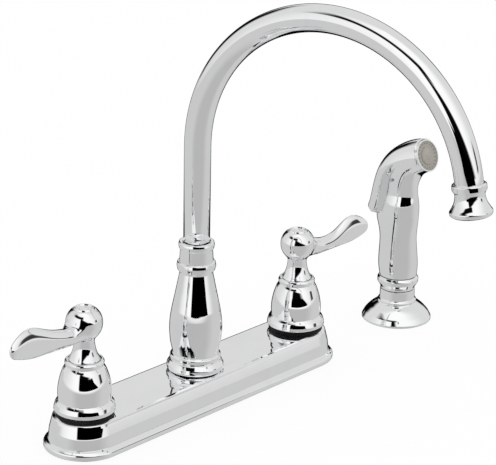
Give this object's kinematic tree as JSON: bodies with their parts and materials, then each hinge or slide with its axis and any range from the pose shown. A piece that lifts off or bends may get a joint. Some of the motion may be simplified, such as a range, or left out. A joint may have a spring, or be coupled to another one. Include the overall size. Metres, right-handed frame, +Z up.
{
  "type": "kitchen faucet",
  "caption": "Deck-mounted kitchen faucet with lever handles on a long plate, a swivelling gooseneck spout and a side spray in its own holder.",
  "frame": {"origin": "on the deck's surface, under the spout's axis", "axes": "+X towards the cold handle, -Y towards the user, +Z up"},
  "size_m": [0.4038, 0.2395, 0.3418],
  "materials": {
    "polished_chrome": "mirror-bright chrome plate",
    "button_chrome": "chrome plate, dulled dish",
    "spray_face_grey": "moulded, satin",
    "black_gasket": "smooth moulded rubber",
    "foam_gasket": "die-cut sheet",
    "seal_rubber": "moulded rubber",
    "spring_steel": "drawn stainless steel",
    "white_plastic": "moulded",
    "black_plastic": "moulded",
    "cast_brass": "cast and turned"
  },
  "bodies": {
    "faucet_base": {"base_gasket": "foam_gasket", "cold_bell": "polished_chrome", "cold_bell_gasket": "black_gasket", "cold_bonnet_nut": "cast_brass", "cold_cartridge": "cast_brass", "cold_seat": "seal_rubber", "cold_seat_spring": "spring_steel", "cold_valve_body": "cast_brass", "deck_plate": "polished_chrome", "holder_gasket": "foam_gasket", "holder_nut": "black_plastic", "hot_bell": "polished_chrome", "hot_bell_gasket": "black_gasket", "hot_bonnet_nut": "cast_brass", "hot_cartridge": "cast_brass", "hot_seat": "seal_rubber", "hot_seat_spring": "spring_steel", "hot_valve_body": "cast_brass", "mounting_nuts": "black_plastic", "mounting_washers": "black_plastic", "spout_hub": "polished_chrome", "spout_nut": "polished_chrome", "spout_post": "cast_brass", "spray_holder": "polished_chrome", "spray_outlet": "cast_brass", "waterway": "cast_brass"},
    "hot_handle": {"hot_handle": "polished_chrome", "hot_button": "button_chrome", "hot_handle_screw": "spring_steel", "hot_stem": "cast_brass", "hot_stem_ring": "seal_rubber"},
    "cold_handle": {"cold_handle": "polished_chrome", "cold_button": "button_chrome", "cold_handle_screw": "spring_steel", "cold_stem": "cast_brass", "cold_stem_ring": "seal_rubber"},
    "spout": {"spout_tube": "polished_chrome", "spout_tail": "cast_brass", "spout_rings": "seal_rubber", "glide_ring": "white_plastic", "spout_nozzle": "polished_chrome", "aerator_washer": "seal_rubber", "aerator_housing": "white_plastic", "aerator_screen": "white_plastic"},
    "diverter": {"diverter_piston": "white_plastic", "diverter_ring": "seal_rubber"},
    "hose_end": {"hose_coupling": "cast_brass", "coupling_clip": "spring_steel"},
    "wand": {"wand_base": "polished_chrome", "wand_body": "polished_chrome", "trigger_pin": "spring_steel", "spray_face": "spray_face_grey", "face_bezel": "polished_chrome", "spray_spring": "spring_steel"},
    "trigger": {"trigger": "polished_chrome"},
    "spray_valve": {"spray_plunger": "white_plastic", "plunger_ring": "seal_rubber"}
  },
  "joints": [
    {"name": "hot_handle_turn", "type": "hinge", "parent": "faucet_base", "child": "hot_handle", "pos_m": [-0.1016, 0, 0.06], "axis": [0, 0, 1], "range_deg": [0, 90]},
    {"name": "cold_handle_turn", "type": "hinge", "parent": "faucet_base", "child": "cold_handle", "pos_m": [0.1016, 0, 0.06], "axis": [0, 0, 1], "range_deg": [-90, 0]},
    {"name": "spout_swivel", "type": "hinge", "parent": "faucet_base", "child": "spout", "pos_m": [0, 0, 0.08], "axis": [0, 0, 1], "range_deg": [-67.9, 52.1]},
    {"name": "diverter_slide", "type": "slide", "parent": "faucet_base", "child": "diverter", "axis": [0, 0, 1], "range_m": [0, 0.003]},
    {"name": "wand_lift", "type": "slide", "parent": "faucet_base", "child": "hose_end", "axis": [0, 0, 1], "range_m": [0, 0.1]},
    {"name": "wand_swivel", "type": "hinge", "parent": "hose_end", "child": "wand", "pos_m": [0.211, -0.004, 0.02], "axis": [0, 0, 1], "continuous": true},
    {"name": "trigger_squeeze", "type": "hinge", "parent": "wand", "child": "trigger", "pos_m": [0.211, -0.004, 0.109], "axis": [1, 0, 0], "range_deg": [-4.6, 0], "stiffness_Nm_per_rad": 1, "springref_deg": 6.88},
    {"name": "spray_plunger_slide", "type": "slide", "parent": "wand", "child": "spray_valve", "axis": [0, -1, 0], "range_m": [0, 0.0018], "deforming": ["spray_spring"]}
  ],
  "couplings": [
    {"joint": "spray_plunger_slide", "follows": "trigger_squeeze", "m_per_rad": -0.019}
  ]
}
